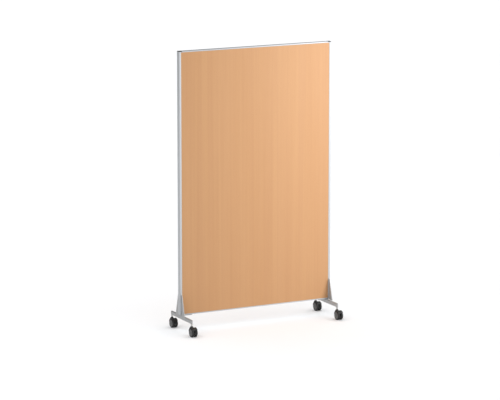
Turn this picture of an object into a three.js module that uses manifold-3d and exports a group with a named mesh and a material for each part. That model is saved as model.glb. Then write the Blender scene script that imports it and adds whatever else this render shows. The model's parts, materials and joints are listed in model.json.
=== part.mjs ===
// Mobile partition wall on two caster feet.
// Units are millimetres, +Z is up. The front face looks along -Y and the left side is -X.
// The origin is on the floor, in the middle of the footprint of the wall with its casters trailing to -Y.

import * as THREE from 'three';
import { mergeVertices } from 'three/addons/utils/BufferGeometryUtils.js';
import Module from 'manifold-3d';

const wasm = await Module();
wasm.setup();

// ---------------------------------------------------------------- driving dimensions

const gap = 0.3; // clearance between pieces that touch

const frameWidth = 1000; // outer faces of the two upright profiles
const frameDepth = 30; // front face to back face
const overallHeight = 1665; // floor to the top of the wall

// upright profile: an extrusion with an outer chamber and an inner channel for the foot blade
const profileWidth = 12.8;
const profileWall = 1.2;
const ribStart = 3.2; // distance of the inner rib from the outer face
const profileCornerRadius = 0.9;
const splineDepth = 6; // tongue that keys into the panel edge
const splineThickness = 2;

// top and bottom rails with a screw port on their hidden side
const railWall = 1.5;
const topRailHeight = 7;
const bottomRailHeight = 6;
const portHeight = 8;
const portHalfWidth = 4.5;
const portBore = 3.8;

// panel: two thin facings over softwood battens and a honeycomb core
const facingThickness = 4;
const facingRecess = 0.5; // facing lies this far behind the frame's face
const battenWidth = 40;

// end cap on top of each upright profile and the first part of the top rail
const capThickness = 3;
const capLength = 20; // from the outer face, along the wall
const capLegLength = 12;
const capLegHalfWidth = 4;
const capLegOffset = 8;

// foot: solid crossbar with a folded sheet bracket on top of it
const crossbarInset = 16; // outer face of the wall to the centre plane of the crossbar
const crossbarThickness = 12;
const crossbarHeight = 23;
const crossbarBottom = 72.5;
const crossbarEdge = 3.5; // rounding of the long edges
const bracketThickness = 4;
const bladeReach = 43; // how far the blade stands out from the frame at its foot
const bladeTopReach = 11; // and at its blunt top
const bladeHeight = 126;
const toeChamfer = 2;
const toeHeight = 3;
const flangeLength = 73.3;
const flangeHalfDepth = 14;
const reliefWidth = 3;
const reliefHeight = 7;
const bendRadius = 4;
const foldOverlap = 4; // how far the fold runs up the blade above the reliefs

// casters
const stemSpacing = 270; // between the two swivel axes of one foot
const casterTrail = 22; // swivel axis to wheel axis
const wheelRadius = 26;
const wheelOuterFace = 19.5; // middle of the caster to the outer disc of a wheel
const wheelInnerFace = 5.9;
const hubRadius = 8;
const hubEnd = 16.9; // bottom of the blind axle bore in a wheel
const rimRadius = 19.4;
const dishDepth = 11; // hollow on the hidden side of a wheel reaches out to here
const discRadius = 20;
const discEdge = 18.9;
const treadSeat = 22.2; // radius where the tread is moulded onto the wheel
const treadOuterFace = 17.4;
const innerShoulder = 0.8;
const outerShoulder = 2;
const webHalfThickness = 5;
const fenderInner = 27.2;
const fenderOuter = 29.4;
const fenderHalfWidth = 17;
const fenderStart = 12; // degrees about the wheel axis, up from the rear
const fenderFinish = 142;
const axleBossRadius = 8;
const hoodTop = 58.5;
const neckRadius = 13; // widest part of the cone that carries the stem
const axleRadius = 3;
const pinRadius = 4;
const pinBottom = 37;
const collarRadius = 5.5;
const threadRadius = 3.9;
const threadTop = 92;

// fasteners: head radius, head length, shank radius, whole length
const cornerScrew = { head: 3.3, headLength: 1.9, shank: 1.5, length: 34 };
const clampScrew = { head: 4.4, headLength: 2.4, shank: 2.4, length: 10.6 };
const crossbarScrew = { head: 5.2, headLength: 3.2, shank: 2.8, length: 26.2 };
const flangeScrew = { head: 3.9, headLength: 2.4, shank: 2, length: 32 };
const clampScrewHeight = 90; // above the bottom of the frame
const crossbarScrewOffset = 9; // from the middle plane of the wall
const flangeScrewInset = 66; // from the outer face of the wall
const flangeScrewOffset = 7.5;
const screwSink = 0.2; // countersunk heads lie this far below the surface
const headRim = 0.2; // straight edge of a countersunk head

// facets round a circle
const wheelFacets = 24;
const hoodFacets = 16;
const pinFacets = 12;
const screwFacets = 10;

// ---------------------------------------------------------------- derived positions

const crossbarTop = crossbarBottom + crossbarHeight;
const flangeBottom = crossbarTop + gap;
const frameBottom = flangeBottom + bracketThickness + gap;
const profileTop = overallHeight - capThickness - gap;
const panelInset = profileWidth + gap;
const ribEnd = ribStart + profileWall;
const channelEnd = profileWidth - profileWall;
const bladeInset = ribEnd + gap;
const facingBottom = frameBottom + bottomRailHeight + gap;
const facingTop = overallHeight - topRailHeight - gap;
const battenBottom = frameBottom + bottomRailHeight + portHeight + gap;
const battenTop = overallHeight - topRailHeight - portHeight - gap;
const battenHalfDepth = frameDepth / 2 - facingRecess - facingThickness - gap;
const stemOffset = stemSpacing / 2;
const casterReach = stemOffset + casterTrail + wheelRadius;
const neckReach = stemOffset + neckRadius;
const axleEnd = hubEnd - gap;
const wallOffset = (casterReach - neckReach) / 2; // the trailing wheels reach further than the necks
const topPortHeight = overallHeight - topRailHeight - portHeight / 2;
const bottomPortHeight = frameBottom + bottomRailHeight + portHeight / 2;

const sides = [{ name: 'left', sign: -1 }, { name: 'right', sign: 1 }];
const ends = [{ name: 'front', sign: -1 }, { name: 'back', sign: 1 }];

// ---------------------------------------------------------------- materials

const finishes = {
  beech: { color: 0xdda877, roughness: 0.5, metalness: 0 },
  softwood: { color: 0xd9bf8f, roughness: 0.8, metalness: 0 },
  honeycomb: { color: 0xb99a6b, roughness: 0.95, metalness: 0 },
  aluminium: { color: 0xc9ccce, roughness: 0.38, metalness: 0.9 },
  paint: { color: 0xa3a5a6, roughness: 0.45, metalness: 0.4 },
  steel: { color: 0xb5b5b0, roughness: 0.35, metalness: 1 },
  blackPlastic: { color: 0x232323, roughness: 0.55, metalness: 0 },
  greyPlastic: { color: 0x55575a, roughness: 0.5, metalness: 0 },
  tread: { color: 0x191919, roughness: 0.8, metalness: 0 },
};

function makeMesh(name, solid, finish) {
  const geometry = toGeometry(solid);
  const mesh = new THREE.Mesh(geometry, new THREE.MeshStandardMaterial(finishes[finish]));
  mesh.name = name;
  return mesh;
}

// ---------------------------------------------------------------- solids

function toSolid(geometry) {
  geometry.deleteAttribute('normal');
  geometry.deleteAttribute('uv');
  const merged = mergeVertices(geometry, 1e-4);
  const vertProperties = new Float32Array(merged.attributes.position.array);
  const triVerts = new Uint32Array(merged.index.array);
  return new wasm.Manifold(new wasm.Mesh({ numProp: 3, vertProperties, triVerts }));
}

function toGeometry(solid) {
  const mesh = solid.getMesh();
  const geometry = new THREE.BufferGeometry();
  geometry.setAttribute('position', new THREE.BufferAttribute(mesh.vertProperties, 3));
  geometry.setIndex(new THREE.BufferAttribute(mesh.triVerts, 1));
  geometry.computeVertexNormals();
  return geometry;
}

function block(xRange, yRange, zRange) {
  const size = [xRange, yRange, zRange].map(([a, b]) => Math.abs(b - a));
  const middle = [xRange, yRange, zRange].map(([a, b]) => (a + b) / 2);
  return toSolid(new THREE.BoxGeometry(...size).translate(...middle));
}

// A shape in the XY plane, pushed up from one height to another.
function extrudeUp(shape, zRange, curveSegments = 2) {
  const depth = zRange[1] - zRange[0];
  const geometry = new THREE.ExtrudeGeometry(shape, { depth, bevelEnabled: false, curveSegments });
  return toSolid(geometry.translate(0, 0, zRange[0]));
}

// A shape drawn with Y across and Z up, pushed along X.
function extrudeSideways(shape, xRange, curveSegments = 12) {
  const depth = xRange[1] - xRange[0];
  const geometry = new THREE.ExtrudeGeometry(shape, { depth, bevelEnabled: false, curveSegments });
  const turn = new THREE.Matrix4().makeBasis(
    new THREE.Vector3(0, 1, 0),
    new THREE.Vector3(0, 0, 1),
    new THREE.Vector3(1, 0, 0),
  );
  return toSolid(geometry.applyMatrix4(turn).translate(xRange[0], 0, 0));
}

// A shape drawn with X across and Z up, pushed both ways along Y from the middle plane.
function extrudeDeep(shape, halfDepth, curveSegments = 6) {
  const depth = 2 * halfDepth;
  const geometry = new THREE.ExtrudeGeometry(shape, { depth, bevelEnabled: false, curveSegments });
  return toSolid(geometry.rotateX(Math.PI / 2).translate(0, halfDepth, 0));
}

// A profile of [radius, height] points turned about the Z axis.
function latheUp(points, segments) {
  const outline = points.map(([radius, height]) => new THREE.Vector2(radius, height));
  return toSolid(new THREE.LatheGeometry(outline, segments).rotateX(Math.PI / 2));
}

// The same, turned about the X axis and mirrored where sign is -1.
function latheSideways(points, segments, sign = 1) {
  const outline = points.map(([radius, height]) => new THREE.Vector2(radius, height));
  return toSolid(new THREE.LatheGeometry(outline, segments).rotateZ(-sign * Math.PI / 2));
}

function uprightCylinder(radius, [z0, z1], segments) {
  return latheUp([[0, z0], [radius, z0], [radius, z1], [0, z1]], segments);
}

function sidewaysCylinder(radius, [x0, x1], segments, sign = 1) {
  return latheSideways([[0, x0], [radius, x0], [radius, x1], [0, x1]], segments, sign);
}

function roundedRectangle([x0, x1], [y0, y1], radius) {
  const shape = new THREE.Shape();
  shape.absarc(x1 - radius, y1 - radius, radius, 0, Math.PI / 2);
  shape.absarc(x0 + radius, y1 - radius, radius, Math.PI / 2, Math.PI);
  shape.absarc(x0 + radius, y0 + radius, radius, Math.PI, 1.5 * Math.PI);
  shape.absarc(x1 - radius, y0 + radius, radius, 1.5 * Math.PI, 2 * Math.PI);
  return shape;
}

function rectangle([x0, x1], [y0, y1]) {
  return new THREE.Shape([
    new THREE.Vector2(x0, y0),
    new THREE.Vector2(x1, y0),
    new THREE.Vector2(x1, y1),
    new THREE.Vector2(x0, y1),
  ]);
}

// X range between two distances from the outer face of one side of the wall.
function across(side, from, to) {
  const a = side.sign * (frameWidth / 2 - from);
  const b = side.sign * (frameWidth / 2 - to);
  return [Math.min(a, b), Math.max(a, b)];
}

// ---------------------------------------------------------------- fasteners

// Countersunk screw along +Z with its head at height 0, grown by a clearance when used as a cutter.
function countersunkProfile(screw, clearance = 0) {
  return [
    [0, -clearance],
    [screw.head + clearance, -clearance],
    [screw.head + clearance, headRim],
    [screw.shank + clearance, screw.headLength + clearance],
    [screw.shank + clearance, screw.length + clearance],
    [0, screw.length + clearance],
  ];
}

// Pan-head screw along +Z with the underside of its head at height 0.
function panHeadProfile(screw, clearance = 0) {
  return [
    [0, -screw.headLength],
    [screw.head * 0.7, -screw.headLength],
    [screw.head, -screw.headLength * 0.45],
    [screw.head, 0],
    [screw.shank + clearance, 0],
    [screw.shank + clearance, screw.length + clearance],
    [0, screw.length + clearance],
  ];
}

function hexSocket(radius, depth) {
  return toSolid(new THREE.CylinderGeometry(radius, radius, 2 * depth, 6).rotateX(Math.PI / 2));
}

// Turns a screw that points along +Z so that it points into the wall from the given side.
function pointInward(solid, side, height) {
  const face = side.sign * (frameWidth / 2 - screwSink);
  return solid.rotate([0, -side.sign * 90, 0]).translate([face, 0, height]);
}

function screwSolid(screw) {
  const body = latheUp(countersunkProfile(screw), screwFacets);
  return body.subtract(hexSocket(screw.head * 0.48, screw.headLength * 0.6));
}

function screwHole(screw) {
  return latheUp(countersunkProfile(screw, gap), screwFacets);
}

// ---------------------------------------------------------------- frame and panel

function uprightProfile(side) {
  const halfDepth = frameDepth / 2;
  const chamberDepth = halfDepth - profileWall;
  const outline = roundedRectangle(
    across(side, 0, profileWidth),
    [-halfDepth, halfDepth],
    profileCornerRadius,
  );
  const openEnds = [frameBottom - 1, profileTop + 1];
  const outerChamber = block(across(side, profileWall, ribStart), [-chamberDepth, chamberDepth], openEnds);
  const bladeChannel = block(across(side, ribEnd, channelEnd), [-chamberDepth, chamberDepth], openEnds);
  const tube = extrudeUp(outline, [frameBottom, profileTop]);
  const spline = block(
    across(side, profileWidth - 0.5, profileWidth + splineDepth),
    [-splineThickness / 2, splineThickness / 2],
    [battenBottom + gap, battenTop - gap],
  );
  const bladeSlot = block(
    across(side, ribEnd, bladeInset + bracketThickness + gap),
    [-frameDepth, frameDepth],
    [frameBottom - 1, flangeBottom + bladeHeight + gap],
  );
  return tube
    .subtract(outerChamber)
    .subtract(bladeChannel)
    .add(spline)
    .subtract(bladeSlot)
    .subtract(pointInward(screwHole(cornerScrew), side, topPortHeight))
    .subtract(pointInward(screwHole(cornerScrew), side, bottomPortHeight))
    .subtract(pointInward(screwHole(clampScrew), side, frameBottom + clampScrewHeight));
}

// A rail is a flat hollow section with a screw port standing off its hidden side.
// Up is +1 for the bottom rail, whose port stands up, and -1 for the top rail.
function rail(outerHeight, height, up) {
  const heights = (from, to) => [outerHeight + up * from, outerHeight + up * to].sort((a, b) => a - b);
  const halfDepth = frameDepth / 2;
  const halfLength = frameWidth / 2 - panelInset;
  const length = [-halfLength, halfLength];
  const outline = roundedRectangle([-halfDepth, halfDepth], heights(0, height), profileCornerRadius);
  const flatSection = extrudeSideways(outline, length, 2);
  const port = extrudeSideways(
    rectangle([-portHalfWidth, portHalfWidth], heights(height - 0.5, height + portHeight)),
    length,
  );
  const hollow = extrudeSideways(
    rectangle([-halfDepth + railWall, halfDepth - railWall], heights(railWall, height - railWall)),
    [-frameWidth, frameWidth],
  );
  const boreStart = height + portHeight / 2 - portBore / 2;
  const bore = extrudeSideways(
    rectangle([-portBore / 2, portBore / 2], heights(boreStart, boreStart + portBore)),
    [-frameWidth, frameWidth],
  );
  return flatSection.add(port).subtract(hollow).subtract(bore);
}

// The top rail is notched at both ends so that the end caps lie flush with it.
function topRail() {
  let result = rail(overallHeight, topRailHeight, -1);
  for (const side of sides) {
    const notch = block(
      across(side, 0, capLength + gap),
      [-frameDepth, frameDepth],
      [profileTop, overallHeight + gap],
    );
    result = result.subtract(notch);
  }
  return result;
}

function flangeScrewPositions(side) {
  const x = side.sign * (frameWidth / 2 - flangeScrewInset);
  return ends.map((end) => ({ end, place: [x, end.sign * flangeScrewOffset, flangeBottom - gap] }));
}

function cutFlangeScrews(solid) {
  let result = solid;
  for (const side of sides) {
    for (const { place } of flangeScrewPositions(side)) {
      const hole = uprightCylinder(flangeScrew.shank + gap, [-1, flangeScrew.length + gap], screwFacets);
      result = result.subtract(hole.translate(place));
    }
  }
  return result;
}

function facing(end) {
  const outerY = end.sign * (frameDepth / 2 - facingRecess);
  const innerY = outerY - end.sign * facingThickness;
  const halfLength = frameWidth / 2 - panelInset;
  return block([-halfLength, halfLength], [outerY, innerY], [facingBottom, facingTop]);
}

function uprightBatten(side) {
  const body = block(
    across(side, panelInset, panelInset + battenWidth),
    [-battenHalfDepth, battenHalfDepth],
    [battenBottom, battenTop],
  );
  const groove = block(
    across(side, panelInset - 1, profileWidth + splineDepth + gap),
    [-splineThickness / 2 - gap, splineThickness / 2 + gap],
    [battenBottom - 1, battenTop + 1],
  );
  return body.subtract(groove);
}

const crossBattenHalfLength = frameWidth / 2 - panelInset - battenWidth - gap;

function crossBatten(zRange) {
  return block([-crossBattenHalfLength, crossBattenHalfLength], [-battenHalfDepth, battenHalfDepth], zRange);
}

function honeycombCore() {
  const zRange = [battenBottom + battenWidth + gap, battenTop - battenWidth - gap];
  return block([-crossBattenHalfLength, crossBattenHalfLength], [-battenHalfDepth, battenHalfDepth], zRange);
}

function endCap(side) {
  const halfDepth = frameDepth / 2;
  const outline = roundedRectangle(
    across(side, 0, capLength),
    [-halfDepth, halfDepth],
    profileCornerRadius,
  );
  let cap = extrudeUp(outline, [overallHeight - capThickness, overallHeight]);
  const chambers = [[profileWall + gap, ribStart - gap], [ribEnd + gap, channelEnd - gap]];
  for (const [from, to] of chambers) {
    for (const end of ends) {
      const middle = end.sign * capLegOffset;
      const leg = block(
        across(side, from, to),
        [middle - capLegHalfWidth, middle + capLegHalfWidth],
        [profileTop - capLegLength, overallHeight - capThickness / 2],
      );
      cap = cap.add(leg);
    }
  }
  return cap;
}

// ---------------------------------------------------------------- feet

// Blade of the bracket: a plate through the profile that tapers from the crossbar up to a blunt top.
function bladeOutline() {
  const halfDepth = frameDepth / 2;
  const top = flangeBottom + bladeHeight;
  const toe = halfDepth + bladeReach;
  const shoulder = halfDepth + bladeTopReach;
  const reliefOuter = flangeHalfDepth + reliefWidth;
  const reliefTop = flangeBottom + reliefHeight;
  return new THREE.Shape([
    new THREE.Vector2(-shoulder + toeChamfer, top),
    new THREE.Vector2(-shoulder, top - toeHeight),
    new THREE.Vector2(-toe, flangeBottom + toeHeight),
    new THREE.Vector2(-toe + toeChamfer, flangeBottom),
    new THREE.Vector2(-reliefOuter, flangeBottom),
    new THREE.Vector2(-reliefOuter, reliefTop),
    new THREE.Vector2(reliefOuter, reliefTop),
    new THREE.Vector2(reliefOuter, flangeBottom),
    new THREE.Vector2(toe - toeChamfer, flangeBottom),
    new THREE.Vector2(toe, flangeBottom + toeHeight),
    new THREE.Vector2(shoulder, top - toeHeight),
    new THREE.Vector2(shoulder - toeChamfer, top),
  ]);
}

// Folded strip between the blade and the flange, drawn for the left side and mirrored for the right.
function foldOutline(side) {
  const at = (inset) => side.sign * (frameWidth / 2 - inset);
  const outerRadius = bendRadius + bracketThickness;
  const foldTop = flangeBottom + reliefHeight + foldOverlap;
  const fold = new THREE.Shape();
  fold.moveTo(at(bladeInset), foldTop);
  fold.lineTo(at(bladeInset), flangeBottom + outerRadius);
  fold.quadraticCurveTo(at(bladeInset), flangeBottom, at(bladeInset + outerRadius), flangeBottom);
  fold.lineTo(at(bladeInset + flangeLength), flangeBottom);
  fold.lineTo(at(bladeInset + flangeLength), flangeBottom + bracketThickness);
  fold.lineTo(at(bladeInset + outerRadius), flangeBottom + bracketThickness);
  fold.lineTo(at(bladeInset + bracketThickness), flangeBottom + bracketThickness);
  fold.lineTo(at(bladeInset + bracketThickness), foldTop);
  return fold;
}

function crossbarScrewPlace(side, end) {
  const centre = side.sign * (frameWidth / 2 - crossbarInset);
  return [centre, end.sign * crossbarScrewOffset, crossbarBottom + screwSink];
}

function footBracket(side) {
  const blade = extrudeSideways(bladeOutline(), across(side, bladeInset, bladeInset + bracketThickness));
  let bracket = blade.add(extrudeDeep(foldOutline(side), flangeHalfDepth));
  for (const end of ends) {
    bracket = bracket.subtract(screwHole(crossbarScrew).translate(crossbarScrewPlace(side, end)));
  }
  return cutFlangeScrews(bracket)
    .subtract(pointInward(screwHole(cornerScrew), side, bottomPortHeight))
    .subtract(pointInward(screwHole(clampScrew), side, frameBottom + clampScrewHeight));
}

function crossbar(side) {
  const centre = side.sign * (frameWidth / 2 - crossbarInset);
  const radius = crossbarThickness / 2 - crossbarEdge;
  const outline = new THREE.Shape();
  outline.absarc(centre, stemOffset, radius, 0, Math.PI);
  outline.absarc(centre, -stemOffset, radius, Math.PI, 2 * Math.PI);
  const geometry = new THREE.ExtrudeGeometry(outline, {
    depth: crossbarHeight - 2 * crossbarEdge,
    bevelSize: crossbarEdge,
    bevelThickness: crossbarEdge,
    bevelSegments: 3,
    curveSegments: 4,
  });
  let bar = toSolid(geometry.translate(0, 0, crossbarBottom + crossbarEdge));
  for (const end of ends) {
    const thread = uprightCylinder(threadRadius + gap, [0, threadTop + gap], pinFacets);
    const stemPlace = [centre, end.sign * stemOffset, 0];
    bar = bar.subtract(thread.translate(stemPlace));
    bar = bar.subtract(screwHole(crossbarScrew).translate(crossbarScrewPlace(side, end)));
  }
  return bar;
}

// ---------------------------------------------------------------- casters, about their own swivel axis

function casterStem() {
  const collarBottom = hoodTop + gap;
  const collarTop = crossbarBottom - gap;
  return latheUp([
    [0, pinBottom],
    [pinRadius - 0.8, pinBottom],
    [pinRadius, pinBottom + 0.8],
    [pinRadius, collarBottom],
    [collarRadius, collarBottom],
    [collarRadius, collarTop],
    [threadRadius, collarTop],
    [threadRadius, threadTop - 1],
    [threadRadius - 1, threadTop],
    [0, threadTop],
  ], pinFacets);
}

// Cone that carries the stem, as [radius, height].
const neckProfile = [
  [0, 33],
  [6.8, 33],
  [6.8, 42],
  [neckRadius, 46],
  [neckRadius - 0.5, 50.5],
  [8.4, 56.2],
  [6.6, hoodTop],
  [0, hoodTop],
];

function casterHood() {
  const start = THREE.MathUtils.degToRad(fenderStart);
  const finish = THREE.MathUtils.degToRad(fenderFinish);
  const fenderOutline = new THREE.Shape();
  fenderOutline.absarc(-casterTrail, wheelRadius, fenderOuter, start, finish, false);
  fenderOutline.absarc(-casterTrail, wheelRadius, fenderInner, finish, start, true);
  const webOutline = new THREE.Shape();
  const webRadius = fenderOuter - 1;
  webOutline.moveTo(-casterTrail, wheelRadius - axleBossRadius);
  webOutline.lineTo(-casterTrail + webRadius * Math.cos(start), wheelRadius + webRadius * Math.sin(start));
  webOutline.absarc(-casterTrail, wheelRadius, webRadius, start, finish, false);
  const fender = extrudeSideways(fenderOutline, [-fenderHalfWidth, fenderHalfWidth], 5);
  const web = extrudeSideways(webOutline, [-webHalfThickness, webHalfThickness], 5);
  const boss = sidewaysCylinder(axleBossRadius, [-webHalfThickness, webHalfThickness], hoodFacets)
    .translate([0, -casterTrail, wheelRadius]);
  const neck = latheUp(neckProfile, hoodFacets);
  let hood = fender.add(web).add(boss).add(neck);
  for (const side of sides) {
    const inner = webHalfThickness + gap;
    const outer = fenderHalfWidth + 1;
    const radius = fenderInner - gap;
    const room = sidewaysCylinder(radius, [inner, outer], wheelFacets, side.sign);
    hood = hood.subtract(room.translate([0, -casterTrail, wheelRadius]));
  }
  const pinBore = uprightCylinder(pinRadius + gap, [pinBottom - gap, hoodTop + 1], pinFacets);
  const axleBore = sidewaysCylinder(axleRadius + gap, [-fenderHalfWidth, fenderHalfWidth], pinFacets);
  return hood.subtract(pinBore).subtract(axleBore.translate([0, -casterTrail, wheelRadius]));
}

function casterAxle() {
  const chamfer = 0.6;
  const axle = latheSideways([
    [0, -axleEnd],
    [axleRadius - chamfer, -axleEnd],
    [axleRadius, -axleEnd + chamfer],
    [axleRadius, axleEnd - chamfer],
    [axleRadius - chamfer, axleEnd],
    [0, axleEnd],
  ], pinFacets);
  return axle.translate([0, -casterTrail, wheelRadius]);
}

function wheelCore(side) {
  const bore = axleRadius + gap;
  const core = latheSideways([
    [bore, wheelInnerFace],
    [hubRadius, wheelInnerFace],
    [hubRadius, dishDepth],
    [rimRadius, dishDepth],
    [rimRadius, wheelInnerFace],
    [treadSeat, wheelInnerFace],
    [treadSeat, treadOuterFace],
    [discRadius, discEdge],
    [0, wheelOuterFace],
    [0, hubEnd],
    [bore, hubEnd],
    [bore, wheelInnerFace],
  ], wheelFacets, side.sign);
  return core.translate([0, -casterTrail, wheelRadius]);
}

function wheelTread(side) {
  const inside = treadSeat + gap;
  const tread = latheSideways([
    [inside, wheelInnerFace],
    [wheelRadius - innerShoulder, wheelInnerFace],
    [wheelRadius, wheelInnerFace + innerShoulder],
    [wheelRadius, treadOuterFace - outerShoulder],
    [wheelRadius - outerShoulder, treadOuterFace],
    [inside, treadOuterFace],
    [inside, wheelInnerFace],
  ], wheelFacets, side.sign);
  return tread.translate([0, -casterTrail, wheelRadius]);
}

function caster(foot, end) {
  const group = new THREE.Group();
  const name = `${end.name}_${foot.name}_caster`;
  group.add(makeMesh(`${name}_stem`, casterStem(), 'steel'));
  group.add(makeMesh(`${name}_hood`, casterHood(), 'blackPlastic'));
  group.add(makeMesh(`${name}_axle`, casterAxle(), 'steel'));
  for (const side of sides) {
    const position = side.sign === foot.sign ? 'outer' : 'inner';
    group.add(makeMesh(`${name}_${position}_wheel`, wheelCore(side), 'greyPlastic'));
    group.add(makeMesh(`${name}_${position}_tread`, wheelTread(side), 'tread'));
  }
  group.position.set(foot.sign * (frameWidth / 2 - crossbarInset), end.sign * stemOffset, 0);
  return group;
}

// ---------------------------------------------------------------- assembly

function panel() {
  const group = new THREE.Group();
  for (const end of ends) {
    group.add(makeMesh(`${end.name}_facing`, facing(end), 'beech'));
  }
  for (const side of sides) {
    group.add(makeMesh(`${side.name}_batten`, uprightBatten(side), 'softwood'));
  }
  const bottomBatten = crossBatten([battenBottom, battenBottom + battenWidth]);
  group.add(makeMesh('bottom_batten', cutFlangeScrews(bottomBatten), 'softwood'));
  group.add(makeMesh('top_batten', crossBatten([battenTop - battenWidth, battenTop]), 'softwood'));
  group.add(makeMesh('honeycomb_core', honeycombCore(), 'honeycomb'));
  return group;
}

function frame() {
  const group = new THREE.Group();
  group.add(makeMesh('top_rail', topRail(), 'aluminium'));
  group.add(makeMesh('bottom_rail', cutFlangeScrews(rail(frameBottom, bottomRailHeight, 1)), 'aluminium'));
  for (const side of sides) {
    group.add(makeMesh(`${side.name}_profile`, uprightProfile(side), 'aluminium'));
    group.add(makeMesh(`${side.name}_end_cap`, endCap(side), 'blackPlastic'));
    const topScrew = pointInward(screwSolid(cornerScrew), side, topPortHeight);
    const bottomScrew = pointInward(screwSolid(cornerScrew), side, bottomPortHeight);
    group.add(makeMesh(`top_${side.name}_corner_screw`, topScrew, 'steel'));
    group.add(makeMesh(`bottom_${side.name}_corner_screw`, bottomScrew, 'steel'));
  }
  return group;
}

function foot(side) {
  const group = new THREE.Group();
  group.add(makeMesh(`${side.name}_foot_bracket`, footBracket(side), 'paint'));
  group.add(makeMesh(`${side.name}_crossbar`, crossbar(side), 'paint'));
  const clamp = pointInward(screwSolid(clampScrew), side, frameBottom + clampScrewHeight);
  group.add(makeMesh(`${side.name}_clamp_screw`, clamp, 'steel'));
  for (const end of ends) {
    const screw = screwSolid(crossbarScrew).translate(crossbarScrewPlace(side, end));
    group.add(makeMesh(`${end.name}_${side.name}_crossbar_screw`, screw, 'steel'));
  }
  for (const { end, place } of flangeScrewPositions(side)) {
    const screw = latheUp(panHeadProfile(flangeScrew), screwFacets).translate(place);
    group.add(makeMesh(`${end.name}_${side.name}_flange_screw`, screw, 'steel'));
  }
  for (const end of ends) {
    group.add(caster(side, end));
  }
  return group;
}

const wall = new THREE.Group();
wall.add(panel(), frame());
for (const side of sides) {
  wall.add(foot(side));
}
wall.position.y = wallOffset;

const partitionWall = new THREE.Group();
partitionWall.add(wall);

export default partitionWall;
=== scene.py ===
"""Mobile partition wall: looks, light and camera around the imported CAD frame."""

import json
import math

import bmesh
import bpy
from mathutils import Matrix, Vector

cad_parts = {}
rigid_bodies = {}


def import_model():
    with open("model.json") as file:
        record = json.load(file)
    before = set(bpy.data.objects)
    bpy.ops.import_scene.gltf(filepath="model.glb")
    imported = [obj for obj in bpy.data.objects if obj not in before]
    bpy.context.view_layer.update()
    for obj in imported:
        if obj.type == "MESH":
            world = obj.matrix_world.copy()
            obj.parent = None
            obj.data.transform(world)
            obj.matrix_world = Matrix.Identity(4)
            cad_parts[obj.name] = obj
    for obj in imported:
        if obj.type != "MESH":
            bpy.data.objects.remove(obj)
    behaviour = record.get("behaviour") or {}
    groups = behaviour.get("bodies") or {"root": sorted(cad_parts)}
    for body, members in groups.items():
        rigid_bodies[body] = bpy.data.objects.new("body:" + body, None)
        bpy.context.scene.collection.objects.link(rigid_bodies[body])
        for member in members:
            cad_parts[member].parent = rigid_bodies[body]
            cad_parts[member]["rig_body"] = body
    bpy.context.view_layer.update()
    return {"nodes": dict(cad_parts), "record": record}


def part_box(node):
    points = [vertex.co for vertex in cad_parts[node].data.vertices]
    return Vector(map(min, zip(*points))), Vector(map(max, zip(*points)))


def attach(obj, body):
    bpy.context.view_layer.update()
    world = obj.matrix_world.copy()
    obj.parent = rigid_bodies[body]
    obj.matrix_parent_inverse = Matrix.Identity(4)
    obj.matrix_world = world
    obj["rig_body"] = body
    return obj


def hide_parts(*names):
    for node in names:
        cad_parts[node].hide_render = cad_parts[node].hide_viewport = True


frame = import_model()

MM = 0.001
SIDES = (("left", -1), ("right", 1))
ENDS = ("front", "back")


# ---------------------------------------------------------------- places, from the frame

def centre_of(node):
    low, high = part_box(node)
    return (low + high) / 2


WALL_Y = centre_of("top_rail").y
GAP = 0.3 * MM


# ---------------------------------------------------------------- camera

CAMERA_AZIMUTH = -26.83
CAMERA_ELEVATION = 10.84
CAMERA_DISTANCE = 15.94
CAMERA_LENS = 193.7
AIM_HEIGHT = 0.746
AIM_SIDE = -0.0298


def make_camera():
    azimuth = math.radians(CAMERA_AZIMUTH)
    elevation = math.radians(CAMERA_ELEVATION)
    level = math.cos(elevation)
    back = Vector((math.sin(azimuth) * level, -math.cos(azimuth) * level, math.sin(elevation)))
    right = Vector((math.cos(azimuth), math.sin(azimuth), 0))
    aim = Vector((0, WALL_Y, AIM_HEIGHT)) + right * AIM_SIDE
    data = bpy.data.cameras.new("camera")
    data.lens = CAMERA_LENS
    data.clip_end = 200
    camera = bpy.data.objects.new("camera", data)
    camera.location = aim + back * CAMERA_DISTANCE
    camera.rotation_euler = back.to_track_quat("Z", "Y").to_euler()
    bpy.context.scene.collection.objects.link(camera)
    bpy.context.scene.camera = camera


# ---------------------------------------------------------------- shader nodes

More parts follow.
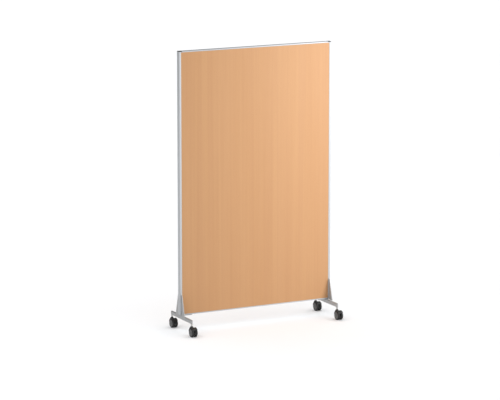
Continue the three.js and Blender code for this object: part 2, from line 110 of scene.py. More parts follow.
class Graph:
    """A Principled material and the few node patterns that the finishes are made of."""

    def __init__(self, name, metallic=0.0, roughness=0.5, specular=0.5):
        self.material = bpy.data.materials.new(name)
        self.material.use_nodes = True
        self.tree = self.material.node_tree
        self.shader = self.tree.nodes["Principled BSDF"]
        self.shader.inputs["Metallic"].default_value = metallic
        self.shader.inputs["Roughness"].default_value = roughness
        self.shader.inputs["Specular IOR Level"].default_value = specular
        self.place = self.tree.nodes.new("ShaderNodeTexCoord").outputs["Object"]

    def stretched(self, scale):
        node = self.tree.nodes.new("ShaderNodeMapping")
        node.inputs["Scale"].default_value = scale
        self.tree.links.new(self.place, node.inputs["Vector"])
        return node.outputs["Vector"]

    def noise(self, scale, detail=2.0, roughness=0.5, distortion=0.0):
        node = self.tree.nodes.new("ShaderNodeTexNoise")
        node.inputs["Scale"].default_value = 1.0
        node.inputs["Detail"].default_value = detail
        node.inputs["Roughness"].default_value = roughness
        node.inputs["Distortion"].default_value = distortion
        self.tree.links.new(self.stretched(scale), node.inputs["Vector"])
        return node.outputs["Fac"]

    def cells(self, scale, feature="F1"):
        node = self.tree.nodes.new("ShaderNodeTexVoronoi")
        node.feature = feature
        node.inputs["Scale"].default_value = 1.0
        self.tree.links.new(self.stretched(scale), node.inputs["Vector"])
        return node.outputs["Distance"]

    def remap(self, value, low, high, out_low=0.0, out_high=1.0):
        node = self.tree.nodes.new("ShaderNodeMapRange")
        node.inputs["From Min"].default_value = low
        node.inputs["From Max"].default_value = high
        node.inputs["To Min"].default_value = out_low
        node.inputs["To Max"].default_value = out_high
        self.tree.links.new(value, node.inputs["Value"])
        return node.outputs["Result"]

    def maths(self, operation, first, second):
        node = self.tree.nodes.new("ShaderNodeMath")
        node.operation = operation
        for socket, value in zip(node.inputs, (first, second)):
            if isinstance(value, (int, float)):
                socket.default_value = value
            else:
                self.tree.links.new(value, socket)
        return node.outputs["Value"]

    def blend(self, factor, first, second):
        node = self.tree.nodes.new("ShaderNodeMix")
        node.data_type = "RGBA"
        for name, value in (("Factor_Float", factor), ("A_Color", first), ("B_Color", second)):
            socket = next(s for s in node.inputs if s.identifier == name)
            if isinstance(value, bpy.types.NodeSocket):
                self.tree.links.new(value, socket)
            else:
                socket.default_value = (*value, 1.0)
        return next(s for s in node.outputs if s.identifier == "Result_Color")

    def finish(self, colour, roughness=None, bumps=()):
        self.tree.links.new(colour, self.shader.inputs["Base Color"])
        if roughness is not None:
            self.tree.links.new(roughness, self.shader.inputs["Roughness"])
        normal = None
        for height, distance, strength in bumps:
            node = self.tree.nodes.new("ShaderNodeBump")
            node.inputs["Distance"].default_value = distance
            node.inputs["Strength"].default_value = strength
            self.tree.links.new(height, node.inputs["Height"])
            if normal is not None:
                self.tree.links.new(normal, node.inputs["Normal"])
            normal = node.outputs["Normal"]
        if normal is not None:
            self.tree.links.new(normal, self.shader.inputs["Normal"])
        return self.material


# ---------------------------------------------------------------- materials

def beech_material():
    """Beech decor with upright grain: broad tonal bands, fine fibre lines and short dark flecks."""
    g = Graph("beech", roughness=0.55, specular=0.22)
    bands = g.remap(g.noise((11, 11, 0.35), detail=2, distortion=0.4), 0.32, 0.68)
    streaks = g.remap(g.noise((75, 75, 0.9), detail=3, roughness=0.6), 0.3, 0.7)
    fibres = g.remap(g.noise((620, 620, 7), detail=3, roughness=0.65), 0.3, 0.7)
    flecks = g.remap(g.noise((1100, 1100, 120), detail=1, roughness=0.4), 0.66, 0.78)
    rings = g.remap(g.noise((26, 26, 0.22), detail=1, distortion=1.6), 0.35, 0.65)
    warm = g.blend(bands, (0.532, 0.286, 0.134), (0.560, 0.311, 0.151))
    warm = g.blend(g.maths("MULTIPLY", rings, 0.35), warm, (0.500, 0.262, 0.131))
    warm = g.blend(g.maths("MULTIPLY", streaks, 0.30), warm, (0.588, 0.335, 0.172))
    warm = g.blend(g.maths("MULTIPLY", fibres, 0.18), warm, (0.455, 0.226, 0.102))
    warm = g.blend(g.maths("MULTIPLY", flecks, 0.38), warm, (0.372, 0.172, 0.076))
    rough = g.remap(g.maths("ADD", streaks, fibres), 0.0, 2.0, 0.48, 0.62)
    bumps = ((fibres, 0.00006, 0.5), (flecks, 0.00008, 0.4))
    return g.finish(warm, rough, bumps)


def aluminium_material():
    """Silver anodised extrusion: satin, with faint die lines along its length."""
    g = Graph("anodised_aluminium", metallic=0.20, roughness=0.55, specular=0.3)
    lines = g.remap(g.noise((1400, 1400, 2.5), detail=2), 0.3, 0.7)
    across = g.remap(g.noise((2.5, 1400, 1400), detail=2), 0.3, 0.7)
    cloud = g.remap(g.noise((9, 9, 9), detail=3), 0.3, 0.7)
    both = g.maths("MULTIPLY", lines, across)
    colour = g.blend(both, (0.505, 0.520, 0.535), (0.555, 0.569, 0.583))
    rough = g.remap(g.maths("ADD", both, cloud), 0.0, 2.0, 0.50, 0.62)
    return g.finish(colour, rough, ((both, 0.00002, 0.35),))


def paint_material():
    """Silver-grey powder coat with a fine orange peel and faint mottling."""
    g = Graph("silver_powder_coat", metallic=0.25, roughness=0.45)
    peel = g.noise((900, 900, 900), detail=2)
    mottle = g.remap(g.noise((60, 60, 60), detail=4, roughness=0.6), 0.3, 0.7)
    sparkle = g.remap(g.cells((2600, 2600, 2600)), 0.0, 0.5, 1.0, 0.0)
    colour = g.blend(mottle, (0.372, 0.374, 0.376), (0.415, 0.416, 0.417))
    colour = g.blend(g.maths("MULTIPLY", sparkle, 0.22), colour, (0.520, 0.522, 0.524))
    rough = g.remap(mottle, 0.0, 1.0, 0.38, 0.48)
    return g.finish(colour, rough, ((peel, 0.00006, 0.45),))


def steel_material():
    """Bright zinc plate with a slightly cloudy, worn surface."""
    g = Graph("zinc_steel", metallic=1.0, roughness=0.3)
    cloud = g.remap(g.noise((140, 140, 140), detail=4), 0.3, 0.7)
    scratch = g.remap(g.noise((2400, 2400, 300), detail=2), 0.35, 0.65)
    colour = g.blend(cloud, (0.500, 0.502, 0.498), (0.610, 0.608, 0.596))
    rough = g.remap(g.maths("ADD", cloud, scratch), 0.0, 2.0, 0.24, 0.40)
    return g.finish(colour, rough, ((scratch, 0.00001, 0.3),))


def plastic_material(name, dark, light, low, high, grain):
    """Moulded nylon: fine spark-eroded grain, with scuffs that lift the tone a little."""
    g = Graph(name, roughness=(low + high) / 2, specular=0.45)
    skin = g.noise((grain, grain, grain), detail=2)
    scuff = g.remap(g.noise((260, 260, 260), detail=5, roughness=0.7), 0.48, 0.72)
    colour = g.blend(scuff, dark, light)
    rough = g.remap(g.maths("ADD", skin, scuff), 0.3, 1.6, low, high)
    return g.finish(colour, rough, ((skin, 0.00005, 0.35),))


def tread_material():
    """Soft tread: matt, a little dusty where it runs on the floor."""
    g = Graph("soft_tread", roughness=0.75, specular=0.3)
    dust = g.remap(g.noise((330, 330, 330), detail=5, roughness=0.7), 0.45, 0.75)
    pores = g.noise((1600, 1600, 1600), detail=2)
    colour = g.blend(g.maths("MULTIPLY", dust, 0.6), (0.016, 0.016, 0.016), (0.060, 0.058, 0.055))
    rough = g.remap(dust, 0.0, 1.0, 0.62, 0.84)
    return g.finish(colour, rough, ((pores, 0.00006, 0.4),))


def softwood_material():
    """Sawn batten inside the panel."""
    g = Graph("softwood", roughness=0.8, specular=0.2)
    grain = g.remap(g.noise((160, 160, 3), detail=3, distortion=0.5), 0.3, 0.7)
    saw = g.noise((500, 500, 500), detail=2)
    colour = g.blend(grain, (0.62, 0.47, 0.27), (0.74, 0.60, 0.38))
    rough = g.remap(saw, 0.3, 0.7, 0.72, 0.88)
    return g.finish(colour, rough, ((saw, 0.0003, 0.5),))


def honeycomb_material():
    """Paper honeycomb seen as cell walls, with painted shade down in the open cells between them."""
    g = Graph("paper_honeycomb", roughness=0.95, specular=0.1)
    walls = g.remap(g.cells((60, 60, 60), "DISTANCE_TO_EDGE"), 0.0, 0.06, 1.0, 0.0)
    fibre = g.remap(g.noise((400, 400, 400), detail=3), 0.3, 0.7)
    # the dark colour between the walls is painted shade in the open cells; the light colour is the paper
    # of the walls
    colour = g.blend(walls, (0.20, 0.14, 0.075), (0.52, 0.40, 0.24))
    colour = g.blend(g.maths("MULTIPLY", fibre, 0.3), colour, (0.42, 0.31, 0.18))
    return g.finish(colour, g.remap(fibre, 0.0, 1.0, 0.88, 1.0), ((walls, 0.0008, 0.6),))


def floor_material():
    """Pale matt studio floor, slightly cool against the warm light that the wood throws on it."""
    g = Graph("studio_floor", roughness=0.9, specular=0.0)
    grain = g.noise((3, 3, 3), detail=2)
    colour = g.blend(grain, (0.858, 0.866, 0.878), (0.872, 0.880, 0.892))
    return g.finish(colour)


MATERIALS = {
    "beech_decor": beech_material(),
    "aluminium": aluminium_material(),
    "silver_paint": paint_material(),
    "steel": steel_material(),
    "black_plastic": plastic_material(
        "black_nylon", (0.018, 0.018, 0.018), (0.034, 0.034, 0.033), 0.42, 0.60, 1500
    ),
    "grey_plastic": plastic_material(
        "grey_nylon", (0.082, 0.082, 0.083), (0.118, 0.117, 0.115), 0.36, 0.52, 1300
    ),
    "tread": tread_material(),
    "softwood": softwood_material(),
    "honeycomb": honeycomb_material(),
}

SLOT_OF = {row["node"]: row["material_slot"] for row in frame["record"]["subparts"]}


# ---------------------------------------------------------------- mesh helpers

ON_AXIS = 1e-7  # a smaller radius is a point on the axis
SAME_PLACE = 1e-6
ROUND_SEGMENTS = 48  # facets round screws, bores and stems


def link_mesh(name, mesh):
    piece = bpy.data.objects.new(name, mesh)
    bpy.context.scene.collection.objects.link(piece)
    return piece


def mesh_from(name, bm):
    bmesh.ops.recalc_face_normals(bm, faces=bm.faces)
    mesh = bpy.data.meshes.new(name)
    bm.to_mesh(mesh)
    bm.free()
    return mesh


def settle(piece):
    """Applies the modifiers of a piece to its mesh."""
    graph = bpy.context.evaluated_depsgraph_get()
    mesh = bpy.data.meshes.new_from_object(piece.evaluated_get(graph))
    piece.modifiers.clear()
    piece.data = mesh


def smooth(piece, angle=35):
    piece.data.shade_smooth()
    piece.data.set_sharp_from_angle(angle=math.radians(angle))


def soften(piece, width, segments, angle=40):
    """Rounds the sharp edges of a piece."""
    bevel = piece.modifiers.new("soften", "BEVEL")
    bevel.width = width
    bevel.segments = segments
    bevel.limit_method = "ANGLE"
    bevel.angle_limit = math.radians(angle)
    bevel.miter_outer = "MITER_ARC"
    settle(piece)


def cut(piece, cutter, operation="DIFFERENCE"):
    boolean = piece.modifiers.new("cut", "BOOLEAN")
    boolean.operation = operation
    boolean.solver = "EXACT"
    boolean.object = cutter
    bpy.context.view_layer.update()
    settle(piece)
    bpy.data.objects.remove(cutter)


def rounded(corners, closed, steps):
    """Points of an outline through (x, y, radius) corners, each corner rounded to its radius."""
    count = len(corners)
    points = []
    for i, (x, y, radius) in enumerate(corners):
        here = Vector((x, y))
        inner = closed or 0 < i < count - 1
        if radius <= 0 or not inner:
            points.append(here)
            continue
        before = Vector(corners[i - 1][:2]) - here
        after = Vector(corners[(i + 1) % count][:2]) - here
        half = before.angle(after) / 2
        reach = min(radius / math.tan(half), before.length * 0.49, after.length * 0.49)
        radius = reach * math.tan(half)
        inward = (before.normalized() + after.normalized()).normalized()
        middle = here + inward * (radius / math.sin(half))
        first = here + before.normalized() * reach - middle
        last = here + after.normalized() * reach - middle
        sweep = first.angle_signed(last)
        for step in range(steps + 1):
            points.append(middle + Matrix.Rotation(-sweep * step / steps, 2) @ first)
    return points


def turned(name, corners, axis="Z", segments=64, closed=False, steps=5):
    """A solid of revolution. Corners are (radius, along, rounding), and a closed one is a ring."""
    outline = rounded(corners, closed, steps)
    bm = bmesh.new()
    rings = []
    for radius, along in outline:
        if radius < ON_AXIS:
            rings.append([bm.verts.new((0, 0, along))])
            continue
        ring = []
        for i in range(segments):
            angle = 2 * math.pi * i / segments
            ring.append(bm.verts.new((radius * math.cos(angle), radius * math.sin(angle), along)))
        rings.append(ring)
    pairs = list(zip(rings, rings[1:]))
    if closed:
        pairs.append((rings[-1], rings[0]))
    for low, high in pairs:
        for i in range(segments):
            j = (i + 1) % segments
            below = [low[i % len(low)], low[j % len(low)]]
            above = [high[j % len(high)], high[i % len(high)]]
            bm.faces.new(list(dict.fromkeys(below + above)))
    if axis == "X":
        bmesh.ops.transform(bm, matrix=Matrix.Rotation(math.radians(90), 4, "Y"), verts=bm.verts)
    return mesh_from(name, bm)


def extruded(name, outline, depth, matrix=Matrix.Identity(4)):
    """A flat outline pushed along its own Z by depth, then placed by matrix."""
    bm = bmesh.new()
    face = bm.faces.new([bm.verts.new((x, y, 0)) for x, y in outline])
    pushed = bmesh.ops.extrude_face_region(bm, geom=[face])["geom"]
    raised = [part for part in pushed if isinstance(part, bmesh.types.BMVert)]
    bmesh.ops.translate(bm, vec=(0, 0, depth), verts=raised)
    bmesh.ops.transform(bm, matrix=matrix, verts=bm.verts)
    return mesh_from(name, bm)


def along_x(start):
    """Stands a flat outline up so that its x runs along Y, its y along Z, and its depth along X."""
    return Matrix(((0, 0, 1, start), (1, 0, 0, 0), (0, 1, 0, 0), (0, 0, 0, 1)))


def refined(node, width, segments=3):
    """A copy of a CAD node's shape with its flat faces joined up and its edges rounded."""
    source = frame["nodes"][node]
    bm = bmesh.new()
    bm.from_mesh(source.data)
    bmesh.ops.remove_doubles(bm, verts=bm.verts, dist=SAME_PLACE)
    bmesh.ops.dissolve_limit(bm, angle_limit=math.radians(1), verts=bm.verts, edges=bm.edges)
    piece = link_mesh(node + "_shaped", mesh_from(node + "_shaped", bm))
    soften(piece, width, segments)
    smooth(piece)
    return piece


def dress(piece, node):
    """Gives a piece its finish and its body, in place of its CAD node."""
    slot = SLOT_OF[node]
    piece.data.materials.clear()
    piece.data.materials.append(MATERIALS[slot])
    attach(piece, frame["nodes"][node]["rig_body"])
    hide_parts(node)


# ---------------------------------------------------------------- panel and frame

EDGE_ROUND = 0.35 * MM
FACING_ROUND = 0.4 * MM
CAP_ROUND = 0.5 * MM


def make_panel():
    for node in ("front_facing", "back_facing"):
        dress(refined(node, FACING_ROUND), node)


def make_frame():
    for node in ("left_profile", "right_profile", "top_rail", "bottom_rail"):
        dress(refined(node, EDGE_ROUND, 2), node)
    for side, _ in SIDES:
        dress(refined(f"{side}_end_cap", CAP_ROUND), f"{side}_end_cap")


# ---------------------------------------------------------------- screws

CORNER_SCREW = {"head_length": 1.9 * MM, "shank": 1.5 * MM}
CLAMP_SCREW = {"head_length": 2.4 * MM, "shank": 2.4 * MM}
CROSSBAR_SCREW = {"head_length": 3.2 * MM, "shank": 2.8 * MM}
FLANGE_SCREW = {"head_length": 2.4 * MM, "shank": 2 * MM}
SLOT_REACH = 2.4 * MM
SLOT_HALF_WIDTH = 0.35 * MM
SLOT_DEPTH = 1.4 * MM


def socket_cutter(radius, depth):
    angles = [math.pi * i / 3 for i in range(6)]
    outline = [(radius * math.cos(angle), radius * math.sin(angle)) for angle in angles]
    return link_mesh("socket", extruded("socket", outline, depth, Matrix.Translation((0, 0, -0.2 * MM))))


def countersunk_screw(name, head, length, head_length, shank):
    """Points along +Z from a head at the origin."""
    mesh = turned(name, [
        (0, 0, 0),
        (head, 0, 0.15 * MM),
        (head, 0.3 * MM, 0.1 * MM),
        (shank, head_length, 0.3 * MM),
        (shank, length - 1.2 * MM, 0.2 * MM),
        (shank * 0.4, length, 0.2 * MM),
        (0, length, 0),
    ], segments=ROUND_SEGMENTS, steps=3)
    screw = link_mesh(name, mesh)
    cut(screw, socket_cutter(head * 0.48, head_length * 0.75))
    smooth(screw)
    return screw


def pan_screw(name, head, length, head_length, shank):
    """Points along +Z from the underside of its head at the origin, with a cross slot."""
    mesh = turned(name, [
        (0, -head_length, 0),
        (head, -head_length, head_length * 0.7),
        (head, 0, 0.2 * MM),
        (shank, 0, 0.2 * MM),
        (shank, length - 5 * MM, 0.5 * MM),
        (0, length, 0),
    ], segments=ROUND_SEGMENTS, steps=6)
    screw = link_mesh(name, mesh)
    slot = [
        (-SLOT_REACH, -SLOT_HALF_WIDTH),
        (SLOT_REACH, -SLOT_HALF_WIDTH),
        (SLOT_REACH, SLOT_HALF_WIDTH),
        (-SLOT_REACH, SLOT_HALF_WIDTH),
    ]
    slot_place = Matrix.Translation((0, 0, -head_length - 0.1 * MM))
    cutter = link_mesh("slot_a", extruded("slot_a", slot, SLOT_DEPTH, slot_place))
    crossing = link_mesh("slot_b", cutter.data.copy())
    crossing.data.transform(Matrix.Rotation(math.radians(90), 4, "Z"))
    cut(screw, cutter)
    cut(screw, crossing)
    smooth(screw)
    return screw


def make_screws():
    for node in sorted(SLOT_OF):
        if not node.endswith("screw"):
            continue
        low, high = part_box(node)
        size = high - low
        middle = (low + high) / 2
        if node.endswith("flange_screw"):
            head_length = FLANGE_SCREW["head_length"]
            screw = pan_screw(node + "_made", size.x / 2, size.z - head_length, **FLANGE_SCREW)
            screw.location = (middle.x, middle.y, low.z + head_length)
        elif node.endswith("crossbar_screw"):
            screw = countersunk_screw(node + "_made", size.x / 2, size.z, **CROSSBAR_SCREW)
            screw.location = (middle.x, middle.y, low.z)
        else:
            kind = CORNER_SCREW if node.endswith("corner_screw") else CLAMP_SCREW
            screw = countersunk_screw(node + "_made", size.z / 2, size.x, **kind)
            inward = -1 if middle.x > 0 else 1
            screw.location = (low.x if inward > 0 else high.x, middle.y, middle.z)
            screw.rotation_euler = (0, inward * math.radians(90), 0)
        dress(screw, node)


# ---------------------------------------------------------------- feet

CROSSBAR_ROUND = 3.5 * MM
BAR_BEVEL_STEPS = 8
BAR_END_STEPS = 24  # facets round each rounded end of a crossbar
BRACKET_ROUND = 0.6 * MM
SEAT_TOP = 5.5 * MM  # radius of the countersink at the face of the crossbar
SEAT_BORE = 3.1 * MM
STEM_HOLE = 4.2 * MM
CUT_START = -2 * MM  # cutters begin this far outside the face they cut


def make_crossbar(side):
    node = f"{side}_crossbar"
    low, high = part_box(node)
    middle = (low + high) / 2
    half_width = (high.x - low.x) / 2
    half_length = (high.y - low.y) / 2 - half_width
    outline = []
    for end in (1, -1):
        for i in range(BAR_END_STEPS + 1):
            angle = math.pi * i / BAR_END_STEPS + (0 if end > 0 else math.pi)
            x = half_width * math.cos(angle)
            y = end * half_length + half_width * math.sin(angle)
            outline.append((x, y))
    mesh = extruded(node, outline, high.z - low.z, Matrix.Translation((middle.x, middle.y, low.z)))
    bar = link_mesh(node + "_bar", mesh)
    soften(bar, CROSSBAR_ROUND, BAR_BEVEL_STEPS, 60)
    for end in ENDS:
        screw_low, screw_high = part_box(f"{end}_{side}_crossbar_screw")
        place = (screw_low + screw_high) / 2
        seat = turned("seat", [
            (0, CUT_START, 0),
            (SEAT_TOP, CUT_START, 0),
            (SEAT_TOP, 0.4 * MM, 0),
            (SEAT_BORE, 3.6 * MM, 0),
            (SEAT_BORE, 30 * MM, 0),
            (0, 30 * MM, 0),
        ], segments=ROUND_SEGMENTS)
        seat.transform(Matrix.Translation((place.x, place.y, screw_low.z)))
        cut(bar, link_mesh("seat", seat))
        stem = centre_of(f"{end}_{side}_caster_stem")
        bore = turned("bore", [
            (0, CUT_START, 0),
            (STEM_HOLE, CUT_START, 0),
            (STEM_HOLE, 20 * MM, 0),
            (0, 20 * MM, 0),
        ], segments=ROUND_SEGMENTS)
        bore.transform(Matrix.Translation((stem.x, stem.y, low.z)))
        cut(bar, link_mesh("bore", bore))
    smooth(bar, 40)
    dress(bar, node)


def make_feet():
    for side, _ in SIDES:
        make_crossbar(side)
        dress(refined(f"{side}_foot_bracket", BRACKET_ROUND), f"{side}_foot_bracket")


# ---------------------------------------------------------------- casters

TREAD_NODE = "front_left_caster_outer_tread"
WHEEL_RADIUS = (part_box(TREAD_NODE)[1].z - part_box(TREAD_NODE)[0].z) / 2
TRAIL = centre_of("front_left_caster_stem").y - centre_of("front_left_caster_axle").y
HOOD_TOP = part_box("front_left_caster_hood")[1].z
NECK_RADIUS = 13 * MM
NECK_FOOT = 6.8 * MM  # radius of the neck inside the web, and again at its top
NECK_BOTTOM = 33 * MM
FENDER_INNER = WHEEL_RADIUS + 1.2 * MM
FENDER_OUTER = WHEEL_RADIUS + 3.4 * MM
FENDER_HALF_WIDTH = 17 * MM
WEB_HALF = 5 * MM
AXLE_BOSS = 8 * MM
FENDER_START = math.radians(12)
FENDER_END = math.radians(142)
FENDER_STEPS = 40
PIN_BORE = 4.3 * MM
PIN_BORE_LOW = 36.7 * MM
AXLE_BORE = 3.3 * MM
AXLE_BORE_HALF = 8 * MM
HOOD_VOXEL = 0.45 * MM
HOOD_SHARE = 0.22
WHEEL_SEGMENTS = 96
WHEEL_INNER_FACE = 5.9 * MM
HUB_RADIUS = 8 * MM
HUB_END = 16.9 * MM
RIM_RADIUS = 19.4 * MM
DISH_DEPTH = 11 * MM
TREAD_SEAT = 22.2 * MM
TREAD_INSIDE = 22.5 * MM
TREAD_OUTER_FACE = 17.4 * MM
MOULD_LINE = 11.4 * MM
DISC_FACE = 18.8 * MM
CAP_FACE = 19.45 * MM
PIN_RADIUS = 4 * MM
COLLAR_RADIUS = 5.5 * MM
THREAD_CREST = 3.9 * MM
THREAD_ROOT = 3.3 * MM
THREAD_PITCH = 1.25 * MM


def fender_outline(outer, inner):
    """Sector over the wheels, about their axis: a ring, or filled down to the boss if inner is 0."""
    sweep = FENDER_END - FENDER_START
    angles = [FENDER_START + sweep * i / FENDER_STEPS for i in range(FENDER_STEPS + 1)]
    outline = [(outer * math.cos(a), outer * math.sin(a)) for a in angles]
    if inner:
        outline += [(inner * math.cos(a), inner * math.sin(a)) for a in reversed(angles)]
    else:
        outline.append((0, -AXLE_BOSS * 0.9))
    return outline


def hood_mesh():
    """Hood about its swivel axis: neck cone, fender over both wheels, and the web between them."""
    axle = Matrix.Translation((0, -TRAIL, WHEEL_RADIUS))
    fender = extruded(
        "fender", fender_outline(FENDER_OUTER, FENDER_INNER), 2 * FENDER_HALF_WIDTH,
        axle @ along_x(-FENDER_HALF_WIDTH),
    )
    web = extruded(
        "web", fender_outline(FENDER_OUTER - 1 * MM, 0), 2 * WEB_HALF, axle @ along_x(-WEB_HALF)
    )
    boss = turned("boss", [
        (0, -WEB_HALF, 0),
        (AXLE_BOSS, -WEB_HALF, 0),
        (AXLE_BOSS, WEB_HALF, 0),
        (0, WEB_HALF, 0),
    ], "X")
    boss.transform(axle)
    neck = turned("neck", [
        (0, NECK_BOTTOM, 0),
        (NECK_FOOT, NECK_BOTTOM, 0),
        (NECK_FOOT, 41 * MM, 0),
        (NECK_RADIUS, 45 * MM, 0),
        (NECK_RADIUS - 0.4 * MM, 50 * MM, 3 * MM),
        (8 * MM, 55.5 * MM, 3 * MM),
        (NECK_FOOT, HOOD_TOP, 0.6 * MM),
        (0, HOOD_TOP, 0),
    ])
    hood = link_mesh("hood_master", fender)
    for name, part in (("web", web), ("boss", boss), ("neck", neck)):
        cut(hood, link_mesh(name, part), "UNION")
    for _, sign in SIDES:
        inner = WEB_HALF + GAP
        outer = FENDER_HALF_WIDTH + 1 * MM
        reach = FENDER_INNER - 0.02 * MM
        corners = [(0, inner, 0), (reach, inner, 0), (reach, outer, 0), (0, outer, 0)]
        room = turned("room", corners, "X", 128)
        if sign < 0:
            room.transform(Matrix.Rotation(math.pi, 4, "Z"))
        room.transform(axle)
        cut(hood, link_mesh("room", room))
    remesh = hood.modifiers.new("remesh", "REMESH")
    remesh.mode = "VOXEL"
    remesh.voxel_size = HOOD_VOXEL
    relax = hood.modifiers.new("relax", "SMOOTH")
    relax.factor = 0.5
    relax.iterations = 3
    thin = hood.modifiers.new("thin", "DECIMATE")
    thin.ratio = HOOD_SHARE
    settle(hood)
    pin_bore = turned("pin_bore", [
        (0, PIN_BORE_LOW, 0),
        (PIN_BORE, PIN_BORE_LOW, 0),
        (PIN_BORE, HOOD_TOP + 1 * MM, 0),
        (0, HOOD_TOP + 1 * MM, 0),
    ], segments=ROUND_SEGMENTS)
    cut(hood, link_mesh("pin_bore", pin_bore))
    axle_bore = turned("axle_bore", [
        (0, -AXLE_BORE_HALF, 0),
        (AXLE_BORE, -AXLE_BORE_HALF, 0),
        (AXLE_BORE, AXLE_BORE_HALF, 0),
        (0, AXLE_BORE_HALF, 0),
    ], "X", ROUND_SEGMENTS)
    axle_bore.transform(axle)
    cut(hood, link_mesh("axle_bore", axle_bore))
    smooth(hood, 50)
    mesh = hood.data
    bpy.data.objects.remove(hood)
    return mesh


def wheel_mesh():
    """Wheel core about its axle, with its outer disc towards +X: raised rim, shallow dish, domed hub."""
    return turned("wheel_core", [
        (0, HUB_END, 0),
        (AXLE_BORE, HUB_END, 0),
        (AXLE_BORE, WHEEL_INNER_FACE, 0),
        (HUB_RADIUS, WHEEL_INNER_FACE, 0.4 * MM),
        (HUB_RADIUS, DISH_DEPTH, 0.6 * MM),
        (RIM_RADIUS, DISH_DEPTH, 0.6 * MM),
        (RIM_RADIUS, WHEEL_INNER_FACE, 0.3 * MM),
        (TREAD_SEAT, WHEEL_INNER_FACE, 0.2 * MM),
        (TREAD_SEAT, 17.3 * MM, 0.8 * MM),
        (20.0 * MM, DISC_FACE, 1.0 * MM),
        (18.2 * MM, DISC_FACE, 0.4 * MM),
        (17.4 * MM, 17.9 * MM, 0.5 * MM),
        (8.6 * MM, 18.2 * MM, 0.6 * MM),
        (7.6 * MM, 19.2 * MM, 0.6 * MM),
        (3.0 * MM, CAP_FACE, 1.0 * MM),
        (0, CAP_FACE, 0),
    ], "X", WHEEL_SEGMENTS, steps=4)


def tread_mesh():
    """Soft tread with round shoulders and a fine raised mould line."""
    return turned("tread_ring", [
        (TREAD_INSIDE, WHEEL_INNER_FACE, 0.3 * MM),
        (WHEEL_RADIUS - 0.1 * MM, WHEEL_INNER_FACE, 0.7 * MM),
        (WHEEL_RADIUS - 0.08 * MM, MOULD_LINE - 0.35 * MM, 0),
        (WHEEL_RADIUS, MOULD_LINE - 0.12 * MM, 0),
        (WHEEL_RADIUS, MOULD_LINE + 0.12 * MM, 0),
        (WHEEL_RADIUS - 0.08 * MM, MOULD_LINE + 0.35 * MM, 0),
        (WHEEL_RADIUS - 0.1 * MM, 16.2 * MM, 1.6 * MM),
        (24.2 * MM, TREAD_OUTER_FACE, 0.8 * MM),
        (TREAD_INSIDE, TREAD_OUTER_FACE, 0.3 * MM),
    ], "X", WHEEL_SEGMENTS, closed=True, steps=5)


def stem_mesh(node):
    """Caster stem about its own axis: swivel pin, collar and thread."""
    low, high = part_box(node)
    collar_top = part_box("left_crossbar")[0].z - GAP
    collar_low = HOOD_TOP + GAP
    corners = [
        (0, low.z, 0),
        (PIN_RADIUS, low.z, 0.7 * MM),
        (PIN_RADIUS, collar_low, 0.1 * MM),
        (COLLAR_RADIUS, collar_low, 0.5 * MM),
        (COLLAR_RADIUS, collar_top, 0.5 * MM),
        (THREAD_ROOT, collar_top, 0.1 * MM),
    ]
    height = collar_top + THREAD_PITCH
    while height < high.z - THREAD_PITCH:
        corners.append((THREAD_CREST, height, 0.1 * MM))
        corners.append((THREAD_ROOT, height + THREAD_PITCH / 2, 0.1 * MM))
        height += THREAD_PITCH
    corners.append((THREAD_ROOT, high.z, 0.3 * MM))
    corners.append((0, high.z, 0))
    return turned("stem", corners, segments=ROUND_SEGMENTS, steps=3)


def make_casters():
    hood = hood_mesh()
    wheel = wheel_mesh()
    tread = tread_mesh()
    stem = stem_mesh("front_left_caster_stem")
    for side, side_sign in SIDES:
        for end in ENDS:
            name = f"{end}_{side}_caster"
            place = centre_of(f"{name}_stem")
            stem_piece = link_mesh(f"{name}_stem_turned", stem)
            stem_piece.location = (place.x, place.y, 0)
            dress(stem_piece, f"{name}_stem")
            hood_piece = link_mesh(f"{name}_hood_moulded", hood)
            hood_piece.location = (place.x, place.y, 0)
            dress(hood_piece, f"{name}_hood")
            axle = centre_of(f"{name}_axle")
            for position, outward in (("outer", side_sign), ("inner", -side_sign)):
                for kind, mesh in (("wheel", wheel), ("tread", tread)):
                    piece = link_mesh(f"{name}_{position}_{kind}_made", mesh)
                    piece.location = axle
                    piece.rotation_euler = (0, 0, 0 if outward > 0 else math.pi)
                    dress(piece, f"{name}_{position}_{kind}")
    for mesh in (wheel, tread, stem):
        mesh.shade_smooth()
        mesh.set_sharp_from_angle(angle=math.radians(35))


# ---------------------------------------------------------------- CAD nodes that stay as they are

def dress_kept_nodes():
    for node, piece in frame["nodes"].items():
        if piece.hide_render:
            continue
        material = MATERIALS[SLOT_OF[node]]
        if not piece.material_slots:
            piece.data.materials.append(material)
        for place in piece.material_slots:
            place.material = material


# ---------------------------------------------------------------- studio

FLOOR_SIZE = 90.0
ROOM_LIGHT = 0.22
KEY_PLACE = (2.6, -2.1, 2.0)
KEY_AIM_HEIGHT = 0.9
KEY_SIZE = 2.4
KEY_POWER = 127
FILL_DIRECTION = (-1, -0.9, 0.35)
FILL_STRENGTH = 0.85
FILL_SPREAD = 60
TOP_DIRECTION = (0.15, -0.25, 1)
TOP_STRENGTH = 0.5
TOP_SPREAD = 70
WASH_LIGHTS = 6
WASH_STRENGTH = 3.05
WASH_SPREAD = 50
WASH_HEIGHT = 1.1  # rise of each wash for a run of 1


def make_floor():
    bm = bmesh.new()
    bmesh.ops.create_grid(bm, x_segments=8, y_segments=8, size=FLOOR_SIZE / 2)
    floor = link_mesh("floor", mesh_from("floor", bm))
    floor.data.materials.append(floor_material())
    return floor


def area_light(name, place, aim, size, power):
    data = bpy.data.lights.new(name, "AREA")
    data.shape = "DISK"
    data.size = size
    data.energy = power
    light = bpy.data.objects.new(name, data)
    light.location = place
    light.rotation_euler = (Vector(place) - Vector(aim)).to_track_quat("Z", "Y").to_euler()
    bpy.context.scene.collection.objects.link(light)
    return light


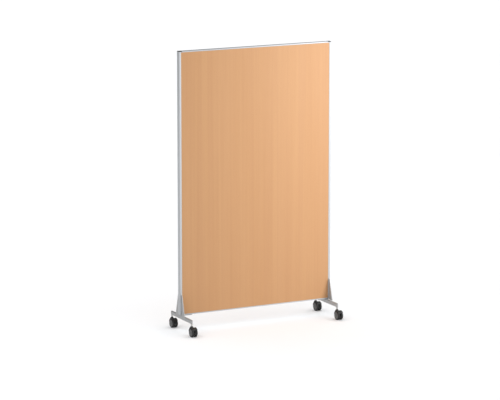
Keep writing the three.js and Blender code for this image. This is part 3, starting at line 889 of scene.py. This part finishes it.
def sun_light(name, direction, strength, spread):
    data = bpy.data.lights.new(name, "SUN")
    data.energy = strength
    data.angle = math.radians(spread)
    light = bpy.data.objects.new(name, data)
    light.rotation_euler = Vector(direction).to_track_quat("Z", "Y").to_euler()
    bpy.context.scene.collection.objects.link(light)
    return light


def named_collection(name, pieces):
    group = bpy.data.collections.new(name)
    for piece in pieces:
        group.objects.link(piece)
    return group


def light_studio(floor):
    """Room light, key from the right, fill from the front left, top light, and a wash on the floor.

    The key, the fill and the top light miss the floor, and only the casters and crossbars shade the wash.
    """
    world = bpy.data.worlds.new("studio")
    world.use_nodes = True
    background = world.node_tree.nodes["Background"]
    background.inputs["Color"].default_value = (1, 1, 1, 1)
    background.inputs["Strength"].default_value = ROOM_LIGHT
    bpy.context.scene.world = world
    meshes = [o for o in bpy.context.scene.objects if o.type == "MESH" and not o.hide_render]
    shown = [o for o in meshes if o is not floor]
    low_pieces = [o for o in shown if "caster" in o.name or "crossbar" in o.name]
    key = area_light("key", KEY_PLACE, (0, WALL_Y, KEY_AIM_HEIGHT), KEY_SIZE, KEY_POWER)
    key.light_linking.receiver_collection = named_collection("key_lit", shown)
    fill = sun_light("fill", FILL_DIRECTION, FILL_STRENGTH, FILL_SPREAD)
    fill.light_linking.receiver_collection = named_collection("fill_lit", shown)
    overhead = sun_light("overhead", TOP_DIRECTION, TOP_STRENGTH, TOP_SPREAD)
    overhead.light_linking.receiver_collection = named_collection("overhead_lit", shown)
    floor_lit = named_collection("floor_lit", [floor])
    floor_shadows = named_collection("floor_shadows", low_pieces)
    for i in range(WASH_LIGHTS):
        angle = 2 * math.pi * (i + 0.5) / WASH_LIGHTS
        direction = Vector((math.cos(angle), math.sin(angle), WASH_HEIGHT)).normalized()
        strength = WASH_STRENGTH / (WASH_LIGHTS * direction.z)
        wash = sun_light(f"floor_wash_{i + 1}", direction, strength, WASH_SPREAD)
        wash.light_linking.receiver_collection = floor_lit
        wash.light_linking.blocker_collection = floor_shadows
    bpy.context.scene.view_settings.view_transform = "Standard"


# ---------------------------------------------------------------- build

make_camera()
make_panel()
make_frame()
make_screws()
make_feet()
make_casters()
dress_kept_nodes()
light_studio(make_floor())
